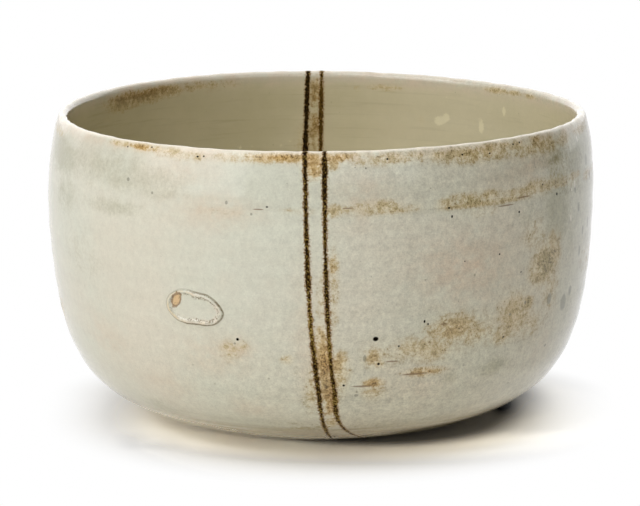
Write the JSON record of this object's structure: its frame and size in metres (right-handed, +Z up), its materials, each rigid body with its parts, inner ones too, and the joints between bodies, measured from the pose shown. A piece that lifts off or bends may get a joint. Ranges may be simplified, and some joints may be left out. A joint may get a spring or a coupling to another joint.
{
  "type": "stoneware bowl",
  "caption": "Deep round stoneware bowl on a low foot ring, with pale glaze, dark iron lines over the lip and a blank oval seal on the wall.",
  "frame": {"origin": "on the floor, under the middle of the foot ring", "axes": "+Z up out of the mouth, -Y towards the front, where the iron lines cross the lip, +X to the right of the lines, with the oval seal to the left of them"},
  "size_m": [0.1509, 0.1491, 0.0869],
  "materials": {
    "clay": "bare stoneware, toasted buff, fine grit",
    "outer_glaze": "pale celadon glaze with golden-brown iron stains, satin gloss",
    "inner_glaze": "khaki grey celadon glaze, satin gloss",
    "iron_line": "dark brown iron pigment under glaze, broken and speckled",
    "seal": "pale glaze over a pressed oval clay wafer"
  },
  "bodies": {
    "root": {"clay_body": "clay", "outer_glaze": "outer_glaze", "inner_glaze": "inner_glaze", "left_line": "iron_line", "right_line": "iron_line", "seal_pad": "seal"}
  },
  "joints": []
}
